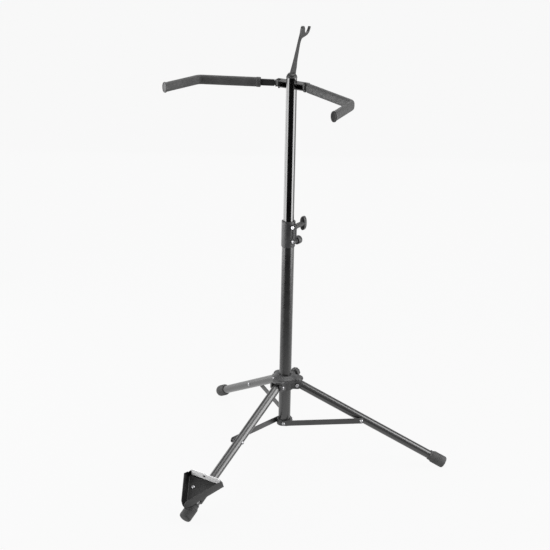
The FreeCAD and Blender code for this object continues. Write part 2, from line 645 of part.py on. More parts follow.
def make_bracket():
    frame = mast_frame().multiply(at(z=size("arm_height")))
    gap = size("eye_height") / 2 + 2 * size("face_gap")
    web_back = "upper_tube_od / 2 + face_gap + web_thickness"
    flanges = []
    for level in (gap, -gap - size("flange_thickness")):
        strip = [box("2 * web_half_length", web_back + " + flange_front", "flange_thickness",
                     at(-size("web_half_length"), -size("flange_front"), level))]
        for sign in (-1, 1):
            strip.append(cylinder("flange_end_radius", "flange_thickness",
                                  at(sign * size("arm_pivot_x"), size("arm_pivot_y"), level)))
        flanges.append(fuse(strip))
    back = size("upper_tube_od") / 2 + size("face_gap")
    web = box("2 * web_half_length", "web_thickness", "eye_height + 2 * flange_thickness",
              at(-size("web_half_length"), back, -size("eye_height") / 2 - size("flange_thickness")))
    low = -2 * size("bar_height")
    tools = [cylinder("upper_tube_od / 2 + face_gap", "4 * bar_height", at(z=low))]
    for sign in (-1, 1):
        tools.append(cylinder("bolt_radius + fit_gap", "4 * bar_height",
                              at(sign * size("arm_pivot_x"), size("arm_pivot_y"), low)))
        tools.append(cylinder("bracket_bolt_radius + fit_gap", "upper_tube_od",
                              at(0, 0, sign * size("bracket_bolt_spread"), axis=(0, 1, 0))))
    node("cross_bracket", cut(fuse(flanges + [web]), tools), frame)

    outer = gap + size("flange_thickness") + size("face_gap")
    bolts = []
    nuts = []
    fixings = []
    for sign in (-1, 1):
        x = sign * size("arm_pivot_x")
        pin = bolt("eye_height + 2 * flange_thickness + nut_height + thread_end")
        pin.Placement = at(x, size("arm_pivot_y"), outer, axis=(0, 0, -1))
        bolts.append(pin)
        nut = hex_nut("nut_radius", "nut_height", "bolt_radius + fit_gap")
        nut.Placement = at(x, size("arm_pivot_y"), -outer, axis=(0, 0, -1))
        nuts.append(nut)
        screw = bolt(web_back + " + face_gap - bracket_bolt_tip", "bracket_bolt_radius",
                     "0.8 * head_radius", "0.8 * head_height")
        start = back + size("web_thickness") + size("face_gap")
        screw.Placement = at(0, start, sign * size("bracket_bolt_spread"), axis=(0, -1, 0))
        fixings.append(screw)
    node("arm_pivot_bolts", group(bolts), frame)
    node("arm_pivot_nuts", group(nuts), frame)
    node("bracket_screws", group(fixings), frame)


def arm_path(sign, start, end, half):
    """Closed outline of a bent strip that follows an arm, as a face in its own plane."""
    bend = math.radians(size("arm_bend"))
    corner = size("arm_straight")
    tangent = size("arm_bend_radius") * math.tan(bend / 2)
    away = Vector(math.cos(bend), -sign * math.sin(bend), 0)
    side_first = Vector(0, sign, 0)
    side_last = Vector(math.sin(bend), sign * math.cos(bend), 0)
    middle_side = Vector(math.sin(bend / 2), sign * math.cos(bend / 2), 0)
    hub_point = Vector(corner - tangent, -sign * size("arm_bend_radius"), 0)

    def edges(offset):
        first = Vector(start, 0, 0) + side_first * offset
        second = Vector(corner - tangent, 0, 0) + side_first * offset
        third = Vector(corner, 0, 0) + away * tangent + side_last * offset
        fourth = Vector(corner, 0, 0) + away * end + side_last * offset
        top = hub_point + middle_side * (size("arm_bend_radius") + offset)
        return first, second, top, third, fourth

    a = edges(half)
    b = edges(-half)
    lines = [Part.makeLine(a[0], a[1]), Part.Arc(a[1], a[2], a[3]).toShape(), Part.makeLine(a[3], a[4]),
             Part.makeLine(a[4], b[4]), Part.makeLine(b[4], b[3]), Part.Arc(b[3], b[2], b[1]).toShape(),
             Part.makeLine(b[1], b[0]), Part.makeLine(b[0], a[0])]
    return Part.Face(Part.Wire(lines))


def raised(face, height):
    """Strip of a given height, centred on the arm's plane."""
    solid = face.extrude(Vector(0, 0, height))
    solid.translate(Vector(0, 0, -height / 2))
    return solid


def make_arm(side):
    """Arm bar, moulded sleeve and end cap; local +X is the arm's straight part."""
    sign = 1 if side == "right" else -1
    angle = -size("arm_angle") if side == "right" else 180.0 + size("arm_angle")
    frame = mast_frame().multiply(Placement(
        Vector(sign * size("arm_pivot_x"), size("arm_pivot_y"), size("arm_height")),
        Rotation(Vector(0, 0, 1), angle)))
    run = size("arm_end_run") - size("end_cap_thickness")
    height = size("bar_height")
    thickness = size("bar_thickness")
    eye_height = size("eye_height")
    bar = raised(arm_path(sign, size("shoulder"), run - 2, thickness / 2), height)
    tongue = Part.makeBox(size("shoulder") + 1, thickness, eye_height,
                          Vector(0, -thickness / 2, -eye_height / 2))
    eye = Part.makeCylinder(size("eye_radius"), eye_height, Vector(0, 0, -eye_height / 2))
    hole = Part.makeCylinder(size("bolt_radius") + size("fit_gap"), 2 * height, Vector(0, 0, -height))
    feature = doc.addObject("Part::Feature", "ArmBar")
    feature.Shape = bar.fuse([tongue, eye]).cut(hole).removeSplitter()
    node(side + "_arm_bar", feature, frame)

    start = size("sleeve_start_" + side)
    oval = raised(arm_path(sign, start, run, size("sleeve_width") / 2), size("sleeve_height"))
    level = size("sleeve_height") / 2
    tube = size("sleeve_width") / 2 - 0.5
    long_edges = [edge for edge in oval.Edges
                  if all(abs(abs(v.Z) - level) < 0.01 for v in edge.Vertexes) and edge.Length > 17]
    oval = oval.makeFillet(tube, long_edges)
    gap = size("face_gap")
    tunnel = raised(arm_path(sign, start - 1, run + 1, thickness / 2 + gap), height + 2 * gap)
    feature = doc.addObject("Part::Feature", "ArmSleeve")
    feature.Shape = oval.cut(tunnel)
    node(side + "_arm_sleeve", feature, frame)

    bend = math.radians(size("arm_bend"))
    away = Vector(math.cos(bend), -sign * math.sin(bend), 0)
    tip = Vector(size("arm_straight"), 0, 0) + away * (run + gap)
    ellipse = primitive("Ellipse")
    bind(ellipse, MajorRadius="end_cap_height / 2", MinorRadius="end_cap_width / 2")
    cap = doc.addObject("Part::Extrusion", "EndCap")
    cap.Base = ellipse
    cap.DirMode = "Custom"
    cap.Dir = Vector(0, 0, 1)
    cap.Solid = True
    bind(cap, LengthFwd="end_cap_thickness")
    along = Placement(tip, Rotation(Vector(0, 0, 1), -sign * size("arm_bend")))
    upright = Placement(Vector(), Rotation(Vector(0, 1, 0), 90.0))
    node(side + "_arm_end_cap", cap, frame.multiply(along).multiply(upright))


# ---------------------------------------------------------------- bow hook

def make_bow_hook():
    """Flat moulded fork that leans back from a spigot in the tube plug."""
    outline_points = [("-11.5", "0"), ("15", "0"), ("17", "10"), ("20", "22"), ("22.5", "38"),
                      ("26.5", "53"), ("30.5", "67"), ("35", "82"), ("39.5", "91"), ("45", "96.5"),
                      ("57", "99"), ("70", "101.5"), ("80", "106.5"), ("86", "114"), ("89", "121"),
                      ("85.5", "123"), ("81.5", "116.5"), ("76.5", "110.5"), ("68", "107"),
                      ("61.5", "108"), ("59.5", "113"), ("59.5", "121"), ("56.5", "127"),
                      ("51.5", "129"), ("46.5", "126"), ("43.5", "118"), ("40.5", "108"), ("32", "90"),
                      ("21.5", "66"), ("6", "33")]
    blade = plate(outline_points, "hook_thickness", role="YZ_Plane", midplane=True)
    base = turned([("0", "-plug_rim_height - plug_depth + 1"), ("spigot_radius",
                   "-plug_rim_height - plug_depth + 1"), ("spigot_radius", "face_gap"),
                   ("hook_base_radius", "face_gap"), ("hook_base_radius", "hook_base_height / 3"),
                   ("hook_neck_radius", "hook_base_height"), ("0", "hook_base_height")])
    blade.Placement = at(z=size("face_gap"))
    node("bow_hook", fuse([base, blade]),
         mast_frame().multiply(at(z=size("column_top") + size("plug_rim_height"))))


def check_and_write():
    doc.recompute()
    for item in doc.Objects:
        if "Invalid" in item.State or "Error" in item.State:
            raise RuntimeError("%s (%s) failed: %s" % (item.Name, item.Label, item.State))
    os.makedirs("parts", exist_ok=True)
    for item in NODES:
        shape = item.Shape
        if shape.isNull() or not shape.isValid() or shape.Volume <= 0:
            raise RuntimeError("%s has no valid solid" % item.Label)
        shape.exportStep("parts/%s.step" % item.Label)
    print("%d nodes written" % len(NODES))


make_column()
make_collar()
make_hub()
for name in SIDES:
    make_leg(name)
    make_strut(name)
make_tray()
make_mast()
make_bracket()
for name in ("left", "right"):
    make_arm(name)
make_bow_hook()
check_and_write()
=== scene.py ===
import json
import math

import bmesh
import bpy
from mathutils import Matrix, Vector

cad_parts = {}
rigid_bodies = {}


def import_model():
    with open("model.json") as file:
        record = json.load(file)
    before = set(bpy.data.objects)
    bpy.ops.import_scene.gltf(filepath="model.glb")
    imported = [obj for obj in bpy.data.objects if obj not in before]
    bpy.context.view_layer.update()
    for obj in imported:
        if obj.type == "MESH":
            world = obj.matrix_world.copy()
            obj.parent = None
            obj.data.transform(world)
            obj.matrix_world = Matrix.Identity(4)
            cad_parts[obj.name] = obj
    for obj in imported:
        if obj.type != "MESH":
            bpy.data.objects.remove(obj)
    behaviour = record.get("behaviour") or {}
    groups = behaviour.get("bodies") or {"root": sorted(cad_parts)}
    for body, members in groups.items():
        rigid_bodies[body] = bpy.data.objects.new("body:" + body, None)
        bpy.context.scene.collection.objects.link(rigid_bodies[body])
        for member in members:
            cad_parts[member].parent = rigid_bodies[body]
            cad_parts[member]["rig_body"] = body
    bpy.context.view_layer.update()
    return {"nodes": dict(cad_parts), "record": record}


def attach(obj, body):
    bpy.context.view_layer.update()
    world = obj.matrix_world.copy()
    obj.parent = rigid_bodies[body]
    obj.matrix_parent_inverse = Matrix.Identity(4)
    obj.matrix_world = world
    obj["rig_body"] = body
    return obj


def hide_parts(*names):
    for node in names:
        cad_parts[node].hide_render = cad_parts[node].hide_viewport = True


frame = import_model()
nodes = frame["nodes"]
slot_of = {part["node"]: part["material_slot"] for part in frame["record"]["subparts"]}

MM = 0.001
SEGMENTS, FINE_SEGMENTS, BOLT_SEGMENTS, OVAL_SEGMENTS = 72, 96, 48, 64
SHARP_ANGLE, BEVEL_ANGLE, FLAT_ANGLE = math.radians(38), math.radians(32), math.radians(0.6)
SAME_POINT = 2e-6

# Sizes of the CAD model that the pieces below share, in millimetres.
LEG_ANGLES = {"front": -90.0, "right": 30.0, "left": 150.0}
PIVOT_RADIUS, PIVOT_HEIGHT = 37.0, 247.0
FOOT_RADIUS, FOOT_HEIGHT = 465.0, 18.8
LEG_SLOPE = math.atan2(PIVOT_HEIGHT - FOOT_HEIGHT, FOOT_RADIUS - PIVOT_RADIUS)
LOWER_TUBE_RADIUS, UPPER_TUBE_RADIUS, LEG_TUBE_RADIUS = 17.5, 15.0, 12.5
STRUT_STATION, STRUT_INNER_HEIGHT, STRUT_FACE, STRUT_THICKNESS = 216.4, 123.2, 20.0, 3.0
GAP = 0.1
BOLT_RADIUS, HEAD_RADIUS, HEAD_HEIGHT = 3.0, 4.9, 3.2
NUT_RADIUS, NUT_HEIGHT, THREAD_END = 5.6, 4.5, 1.0
INNER_BOLT_TIP, CHEEK_WIDTH = 17.8, 37.0
SCREW_OFFSET, EAR_HALF_WIDTH, CLAMP_HEIGHT, ANCHOR_HEIGHT = 21.5, 7.7, 732.0, 689.0
NECK_RADIUS, NECK_END, KNOB_THICKNESS, SCREW_TAIL, CAP_NUT_LENGTH = 7.2, 37.0, 12.0, 13.5, 13.0
HUB_KNOB_START, HUB_KNOB_HEIGHT, HUB_KNOB_RADIUS, HUB_SCREW_RADIUS = 40.0, 260.0, 14.5, 4.0
FOOT_MOUTH, FOOT_MOUTH_RADIUS, FOOT_TIP_RADIUS, FOOT_LENGTH = 447.0, 14.8, 17.6, 52.0
MAST_YAW, COLUMN_TOP, ARM_HEIGHT = 2.9, 1156.0, 1134.6
ARM_PIVOT = (42.2, 2.3)
ARM_ANGLE, ARM_BEND, ARM_STRAIGHT, ARM_END_RUN, BEND_RADIUS = 25.6, 55.6, 221.5, 134.3, 20.0
EYE_HEIGHT, FLANGE_THICKNESS, WEB_THICKNESS = 13.0, 2.5, 2.5
BRACKET_BOLT_RADIUS, BRACKET_BOLT_SPREAD, BRACKET_BOLT_TIP = 2.5, 5.0, 12.3
SLEEVE_STARTS, SLEEVE_WIDTH, SLEEVE_HEIGHT = {"left": 50.0, "right": 15.0}, 16.0, 26.0
BAR_THICKNESS, BAR_HEIGHT = 6.0, 18.0
END_CAP_WIDTH, END_CAP_HEIGHT, END_CAP_THICKNESS = 18.0, 29.5, 4.0
PLUG_RIM_HEIGHT, HOOK_THICKNESS = 3.0, 6.4
TRAY_STATION, TRAY_SHIFT, TRAY_RISE, TRAY_INRADIUS = 414.0, 3.0, 24.0, 35.0
SHEET, WALL_LEAN, RIVET_RISE = 2.0, 8.0, 20.5
TRAY_BOLT_OFFSET, TRAY_HEAD_RADIUS, CLAMP_DEPTH = 18.0, 5.8, 12.0
RIVET_HEAD_RADIUS, RIVET_HEAD_HEIGHT, RIVET_RADIUS = 4.2, 1.6, 2.4


# ---------------------------------------------------------------- camera

def aim_camera():
    """Camera of the photograph: turned, pitched and rolled about a point on the column."""
    azimuth, pitch = math.radians(34.10), math.radians(20.75)
    yaw, roll = math.radians(-0.51), math.radians(1.08)
    distance, height = 3.97823, 2.08884
    ahead = Vector((-math.sin(azimuth), math.cos(azimuth), 0))
    across = Vector((math.cos(azimuth), math.sin(azimuth), 0))
    level = math.cos(yaw) * ahead + math.sin(yaw) * across
    side = math.cos(yaw) * across - math.sin(yaw) * ahead
    forward = math.cos(pitch) * level - math.sin(pitch) * Vector((0, 0, 1))
    upward = math.sin(pitch) * level + math.cos(pitch) * Vector((0, 0, 1))
    right = math.cos(roll) * side + math.sin(roll) * upward
    up = math.cos(roll) * upward - math.sin(roll) * side
    data = bpy.data.cameras.new("camera")
    data.sensor_width = 36.0
    data.lens = 97.71
    camera = bpy.data.objects.new("camera", data)
    bpy.context.collection.objects.link(camera)
    turn = Matrix((right, up, -forward)).transposed().to_4x4()
    camera.matrix_world = Matrix.Translation(-ahead * distance + Vector((0, 0, height))) @ turn
    bpy.context.scene.camera = camera
    return azimuth


# ---------------------------------------------------------------- materials

def new_material(name):
    material = bpy.data.materials.new(name)
    material.use_nodes = True
    return material, material.node_tree, material.node_tree.nodes["Principled BSDF"]


def link(tree, source, target):
    tree.links.new(source, target)


def place_coords(tree):
    """Coordinates in metres, fixed to the piece."""
    return tree.nodes.new("ShaderNodeTexCoord").outputs["Object"]


def noise(tree, coords, scale, detail=3.0):
    item = tree.nodes.new("ShaderNodeTexNoise")
    item.inputs["Scale"].default_value = scale
    item.inputs["Detail"].default_value = detail
    item.inputs["Roughness"].default_value = 0.55
    link(tree, coords, item.inputs["Vector"])
    return item.outputs["Fac"]


def cells(tree, coords, scale):
    item = tree.nodes.new("ShaderNodeTexVoronoi")
    item.inputs["Scale"].default_value = scale
    link(tree, coords, item.inputs["Vector"])
    return item.outputs["Distance"]


def mapped(tree, value, low, high):
    """Spread a 0.3 to 0.7 noise over a range."""
    item = tree.nodes.new("ShaderNodeMapRange")
    item.inputs["From Min"].default_value = 0.3
    item.inputs["From Max"].default_value = 0.7
    item.inputs["To Min"].default_value = low
    item.inputs["To Max"].default_value = high
    link(tree, value, item.inputs["Value"])
    return item.outputs["Result"]


def blend_colours(tree, factor, first, second):
    item = tree.nodes.new("ShaderNodeMix")
    item.data_type = "RGBA"
    item.inputs["A"].default_value = (*first, 1)
    item.inputs["B"].default_value = (*second, 1)
    link(tree, factor, item.inputs["Factor"])
    return item.outputs["Result"]


def bumped(tree, shader, layers):
    """Bump layers of (height value, strength, distance in metres), one on the other."""
    normal = None
    for height, strength, distance in layers:
        item = tree.nodes.new("ShaderNodeBump")
        item.inputs["Strength"].default_value = strength
        item.inputs["Distance"].default_value = distance
        link(tree, height, item.inputs["Height"])
        if normal is not None:
            link(tree, normal, item.inputs["Normal"])
        normal = item.outputs["Normal"]
    link(tree, normal, shader.inputs["Normal"])


def finish(name, dark, light, rough, grain, bump, metallic=0.0, ior=1.5, spots=18.0, pores=None):
    """One finish: uneven colour and roughness from large noise, and a fine grain in the normal.

    bump is (strength, distance in metres) of the grain, and pores is (scale, strength, distance).
    """
    material, tree, shader = new_material(name)
    coords = place_coords(tree)
    broad = noise(tree, coords, spots, detail=4.0)
    fine = noise(tree, coords, grain, detail=2.0)
    link(tree, blend_colours(tree, mapped(tree, broad, 0, 1), dark, light), shader.inputs["Base Color"])
    worn = noise(tree, coords, spots * 3.0)
    link(tree, mapped(tree, worn, rough[0], rough[1]), shader.inputs["Roughness"])
    layers = [(fine, bump[0], bump[1])]
    if pores is not None:
        layers.append((cells(tree, coords, pores[0]), pores[1], pores[2]))
    bumped(tree, shader, layers)
    shader.inputs["Metallic"].default_value = metallic
    shader.inputs["IOR"].default_value = ior
    return material


def grey(value, tint=0.0):
    return (value, value, value * (1.0 + tint))


FINISHES = {
    "gloss_black_tube": dict(dark=grey(0.002), light=grey(0.004), rough=(0.10, 0.16),
                             grain=260, bump=(0.05, 0.0004), ior=2.0),
    "satin_black_tube": dict(dark=grey(0.005), light=grey(0.009), rough=(0.25, 0.31),
                             grain=1800, bump=(0.02, 0.0001), ior=1.85),
    "satin_black_leg": dict(dark=grey(0.007), light=grey(0.012), rough=(0.26, 0.30),
                            grain=1800, bump=(0.01, 0.0001), ior=1.8),
    "black_plastic": dict(dark=grey(0.016, 0.04), light=grey(0.028, 0.04), rough=(0.36, 0.48),
                          grain=900, bump=(0.30, 0.0004), ior=1.6, pores=(1500, 0.30, 0.0003)),
    "knob_plastic": dict(dark=grey(0.022), light=grey(0.036), rough=(0.36, 0.48),
                         grain=1100, bump=(0.25, 0.0003)),
    "hook_plastic": dict(dark=grey(0.006), light=grey(0.012), rough=(0.30, 0.42),
                         grain=900, bump=(0.18, 0.0003)),
    "black_rubber": dict(dark=grey(0.030), light=grey(0.052), rough=(0.62, 0.80),
                         grain=1300, bump=(0.35, 0.0004), pores=(900, 0.15, 0.0004)),
    "floor_rubber": dict(dark=grey(0.010), light=grey(0.020), rough=(0.70, 0.86),
                         grain=1300, bump=(0.45, 0.0005)),
    "sleeve_foam": dict(dark=grey(0.024), light=grey(0.036), rough=(0.55, 0.70),
                        grain=1200, bump=(0.40, 0.0005), pores=(1100, 0.30, 0.0004), spots=30.0),
    "end_cap_plastic": dict(dark=grey(0.030), light=grey(0.045), rough=(0.34, 0.46),
                            grain=1100, bump=(0.20, 0.0003)),
    "black_steel": dict(dark=grey(0.006), light=grey(0.012), rough=(0.34, 0.46),
                        grain=1400, bump=(0.22, 0.0003), ior=1.5),
    "strut_steel": dict(dark=grey(0.020), light=grey(0.034), rough=(0.30, 0.42),
                        grain=900, bump=(0.18, 0.0003), ior=1.6),
    "pale_plate": dict(dark=grey(0.80), light=grey(0.88), rough=(0.34, 0.46),
                       grain=900, bump=(0.15, 0.0003)),
    "spacer_plastic": dict(dark=grey(0.03), light=grey(0.05), rough=(0.42, 0.52),
                           grain=1100, bump=(0.2, 0.0003)),
    "zinc_fastener": dict(dark=grey(0.42, 0.02), light=grey(0.56, 0.03), rough=(0.24, 0.38),
                          grain=1600, bump=(0.20, 0.0002), metallic=1.0, spots=160.0),
}
MATERIALS = {name: finish(name, **look) for name, look in FINISHES.items()}


# ---------------------------------------------------------------- placing

def at(x=0.0, y=0.0, z=0.0, axis=None):
    """Matrix at a point in millimetres, with local +Z turned to the given axis."""
    turn = Matrix.Identity(4)
    if axis is not None:
        turn = Vector((0, 0, 1)).rotation_difference(Vector(axis)).to_matrix().to_4x4()
    return Matrix.Translation(Vector((x, y, z))) @ turn


def spin(degrees):
    return Matrix.Rotation(math.radians(degrees), 4, "Z")


def leg_frame(side):
    """Origin at a leg's hub pivot, +Z down the leg, +Y across it."""
    tilt = Matrix.Rotation(math.radians(90.0) + LEG_SLOPE, 4, "Y")
    return spin(LEG_ANGLES[side]) @ at(PIVOT_RADIUS, 0, PIVOT_HEIGHT) @ tilt


def strut_frame(side):
    """Origin at a strut's inner pivot, +X along the strut, its outer face on -Y."""
    outer_radius = PIVOT_RADIUS + STRUT_STATION * math.cos(LEG_SLOPE)
    outer_height = PIVOT_HEIGHT - STRUT_STATION * math.sin(LEG_SLOPE)
    rise = math.atan2(outer_height - STRUT_INNER_HEIGHT, outer_radius)
    length = math.hypot(outer_radius, outer_height - STRUT_INNER_HEIGHT)
    base = spin(LEG_ANGLES[side]) @ at(0, -STRUT_FACE, STRUT_INNER_HEIGHT)
    return base @ Matrix.Rotation(-rise, 4, "Y"), length


MAST = spin(MAST_YAW)


def arm_frame(side):
    sign = 1 if side == "right" else -1
    turn = -ARM_ANGLE if side == "right" else 180.0 + ARM_ANGLE
    return MAST @ at(sign * ARM_PIVOT[0], ARM_PIVOT[1], ARM_HEIGHT) @ spin(turn)


# ---------------------------------------------------------------- making meshes

def stand_in(node_name, bm, frames=(Matrix.Identity(4),), bevel=None):
    """Object made of one mesh set at each frame, which stands for a CAD node on that node's body."""
    whole = bmesh.new()
    for matrix in frames:
        copy = bm.copy()
        bmesh.ops.transform(copy, matrix=Matrix.Scale(MM, 4) @ matrix, verts=copy.verts)
        part = bpy.data.meshes.new("part")
        copy.to_mesh(part)
        whole.from_mesh(part)
        bpy.data.meshes.remove(part)
        copy.free()
    bmesh.ops.recalc_face_normals(whole, faces=whole.faces)
    mesh = bpy.data.meshes.new(node_name)
    whole.to_mesh(mesh)
    whole.free()
    bm.free()
    show(node_name, mesh, bevel)


def show(node_name, mesh, bevel=None):
    """Put a mesh in the scene in a CAD node's place, with that node's finish."""
    mesh.polygons.foreach_set("use_smooth", [True] * len(mesh.polygons))
    mesh.set_sharp_from_angle(angle=SHARP_ANGLE)
    mesh.materials.clear()
    mesh.materials.append(MATERIALS[slot_of[node_name]])
    piece = bpy.data.objects.new("fine_" + node_name, mesh)
    bpy.context.collection.objects.link(piece)
    if bevel is not None:
        item = piece.modifiers.new("edges", "BEVEL")
        item.width = bevel * MM
        item.segments = 3
        item.limit_method = "ANGLE"
        item.angle_limit = BEVEL_ANGLE
        item.harden_normals = True
    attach(piece, nodes[node_name]["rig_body"])
    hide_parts(node_name)


def softened(node_name, width):
    """The CAD node's own shape with its hard edges rounded."""
    bm = bmesh.new()
    bm.from_mesh(nodes[node_name].data)
    bmesh.ops.remove_doubles(bm, verts=bm.verts, dist=SAME_POINT)
    bmesh.ops.dissolve_limit(bm, angle_limit=FLAT_ANGLE, verts=bm.verts, edges=bm.edges)
    bmesh.ops.recalc_face_normals(bm, faces=bm.faces)
    mesh = bpy.data.meshes.new("fine_" + node_name)
    bm.to_mesh(mesh)
    bm.free()
    show(node_name, mesh, bevel=width)


def ring_points(radius, height, count=SEGMENTS, sides=None):
    """Closed ring at a height; radius is a number or a function of the angle, sides makes a polygon."""
    points = []
    for index in range(count):
        angle = 2 * math.pi * index / count
        reach = radius(angle) if callable(radius) else radius
        if sides:
            sector = math.pi / sides
            reach *= math.cos(sector) / math.cos((angle % (2 * sector)) - sector)
        points.append(Vector((reach * math.cos(angle), reach * math.sin(angle), height)))
    return points


def loft(rings, closed=False, caps=True):
    """Skin over rings of equally many points."""
    bm = bmesh.new()
    rows = [[bm.verts.new(point) for point in ring] for ring in rings]
    pairs = list(zip(rows, rows[1:]))
    if closed:
        pairs.append((rows[-1], rows[0]))
    for low, high in pairs:
        for index in range(len(low)):
            after = (index + 1) % len(low)
            bm.faces.new((low[index], low[after], high[after], high[index]))
    if caps and not closed:
        bm.faces.new(list(reversed(rows[0])))
        bm.faces.new(rows[-1])
    return bm


def turned(profile):
    """Round piece from (radius, height) pairs."""
    return loft([ring_points(radius, height) for radius, height in profile])


def thread(radius, start, end, pitch, depth):
    """Profile of ridges between two heights."""
    rows = []
    steps = int((end - start) / pitch)
    for index in range(steps):
        low = start + index * pitch
        rows += [(radius - depth, low + 0.1 * pitch), (radius, low + 0.45 * pitch),
                 (radius, low + 0.55 * pitch), (radius - depth, low + 0.9 * pitch)]
    return rows


def bolt(length, radius=BOLT_RADIUS, head=HEAD_RADIUS, height=HEAD_HEIGHT):
    """Pan-head bolt with a hexagon socket: shank along +Z, head below 0."""
    rings = []
    for reach, level in ((0.46, 0.45), (0.46, 0.97), (0.50, 1.0)):
        rings.append(ring_points(reach * head, -level * height, BOLT_SEGMENTS, sides=6))
    for reach, level in ((0.60, 1.0), (0.78, 0.94), (0.90, 0.78), (0.97, 0.58), (1.0, 0.38), (1.0, 0.06),
                         (0.97, 0.0)):
        rings.append(ring_points(reach * head, -level * height, BOLT_SEGMENTS))
    shank = [(radius, 0.0), (radius, length - 4), (radius - 0.2, length - 3.9)]
    shank += thread(radius, length - 3.8, length - 0.7, pitch=0.8, depth=0.25)
    shank.append((radius - 0.6, length))
    for reach, level in shank:
        rings.append(ring_points(reach, level, BOLT_SEGMENTS))
    return loft(rings)


def rivet(head, height, radius, length):
    """Domed head below 0 on a plain shank along +Z."""
    dome = [(head * math.sin(math.radians(angle)), -height * math.cos(math.radians(angle)))
            for angle in (12, 28, 44, 60, 75, 86)]
    return turned(dome + [(0.97 * head, 0.0), (radius, 0.0), (radius, length)])


def nut():
    """Hexagon nut with chamfered corners."""
    radius, height, bore, count = NUT_RADIUS, NUT_HEIGHT, BOLT_RADIUS + 0.05, BOLT_SEGMENTS
    rings = [ring_points(bore, 0.3, count), ring_points(bore + 0.3, 0, count),
             ring_points(0.82 * radius, 0, count)]
    for reach, level in ((0.97, 0.14), (1.0, 0.2), (1.0, 0.8), (0.97, 0.86)):
        rings.append(ring_points(reach * radius, level * height, count, sides=6))
    rings += [ring_points(0.82 * radius, height, count), ring_points(bore + 0.3, height, count),
              ring_points(bore, height - 0.3, count)]
    return loft(rings, closed=True)


def dome_ring(inset, level, outline_radius):
    return ring_points(lambda angle: outline_radius(angle) - inset, level, FINE_SEGMENTS)


def fine_rings(profile):
    """Round rings with as many points as a knob's outline has."""
    return [ring_points(radius, height, FINE_SEGMENTS) for radius, height in profile]


# ---------------------------------------------------------------- fasteners

def make_tripod_fasteners():
    side_frames = [spin(angle) for angle in LEG_ANGLES.values()]
    inner = STRUT_FACE + STRUT_THICKNESS + GAP
    stand_in("strut_inner_bolts", bolt(inner - INNER_BOLT_TIP),
             [turn @ at(0, -inner, STRUT_INNER_HEIGHT, axis=(0, 1, 0)) for turn in side_frames])
    cheek = CHEEK_WIDTH / 2 + GAP
    stand_in("leg_pivot_bolts", bolt(CHEEK_WIDTH + NUT_HEIGHT + THREAD_END),
             [turn @ at(PIVOT_RADIUS, cheek, PIVOT_HEIGHT, axis=(0, -1, 0)) for turn in side_frames])
    stand_in("leg_pivot_nuts", nut(),
             [turn @ at(PIVOT_RADIUS, -cheek, PIVOT_HEIGHT, axis=(0, -1, 0)) for turn in side_frames])


def make_head_fasteners():
    flange = EYE_HEIGHT / 2 + 2 * GAP + FLANGE_THICKNESS + GAP
    pivots = [at(sign * ARM_PIVOT[0], ARM_PIVOT[1], 0) for sign in (-1, 1)]
    head = MAST @ at(z=ARM_HEIGHT)
    stand_in("arm_pivot_bolts", bolt(EYE_HEIGHT + 2 * FLANGE_THICKNESS + NUT_HEIGHT + THREAD_END),
             [head @ pivot @ at(z=flange, axis=(0, 0, -1)) for pivot in pivots])
    stand_in("arm_pivot_nuts", nut(), [head @ pivot @ at(z=-flange, axis=(0, 0, -1)) for pivot in pivots])
    back = UPPER_TUBE_RADIUS + GAP + WEB_THICKNESS + GAP
    stand_in("bracket_screws",
             bolt(back - BRACKET_BOLT_TIP, BRACKET_BOLT_RADIUS, 0.8 * HEAD_RADIUS, 0.8 * HEAD_HEIGHT),
             [head @ at(0, back, sign * BRACKET_BOLT_SPREAD, axis=(0, -1, 0)) for sign in (-1, 1)])


def make_collar_fasteners():
    ear = EAR_HALF_WIDTH + GAP
    stand_in("clamp_nut", nut(), [at(SCREW_OFFSET, -ear, CLAMP_HEIGHT, axis=(0, -1, 0))])
    stand_in("collar_anchor_bolt", bolt(2 * EAR_HALF_WIDTH + CAP_NUT_LENGTH),
             [at(SCREW_OFFSET, -ear, ANCHOR_HEIGHT, axis=(0, 1, 0))])


def make_strut_fasteners():
    reach = LEG_TUBE_RADIUS + GAP
    start = -STRUT_THICKNESS - GAP
    for side in LEG_ANGLES:
        place = leg_frame(side) @ at(0, reach, STRUT_STATION, axis=(0, -1, 0))
        stand_in(side + "_strut_bolt", bolt(LEG_TUBE_RADIUS + STRUT_FACE), [place])
        matrix, length = strut_frame(side)
        stand_in(side + "_strut_rivet", rivet(HEAD_RADIUS, HEAD_HEIGHT, BOLT_RADIUS, -start),
                 [matrix @ at(length, start, 0, axis=(0, 1, 0))])


# ---------------------------------------------------------------- knobs

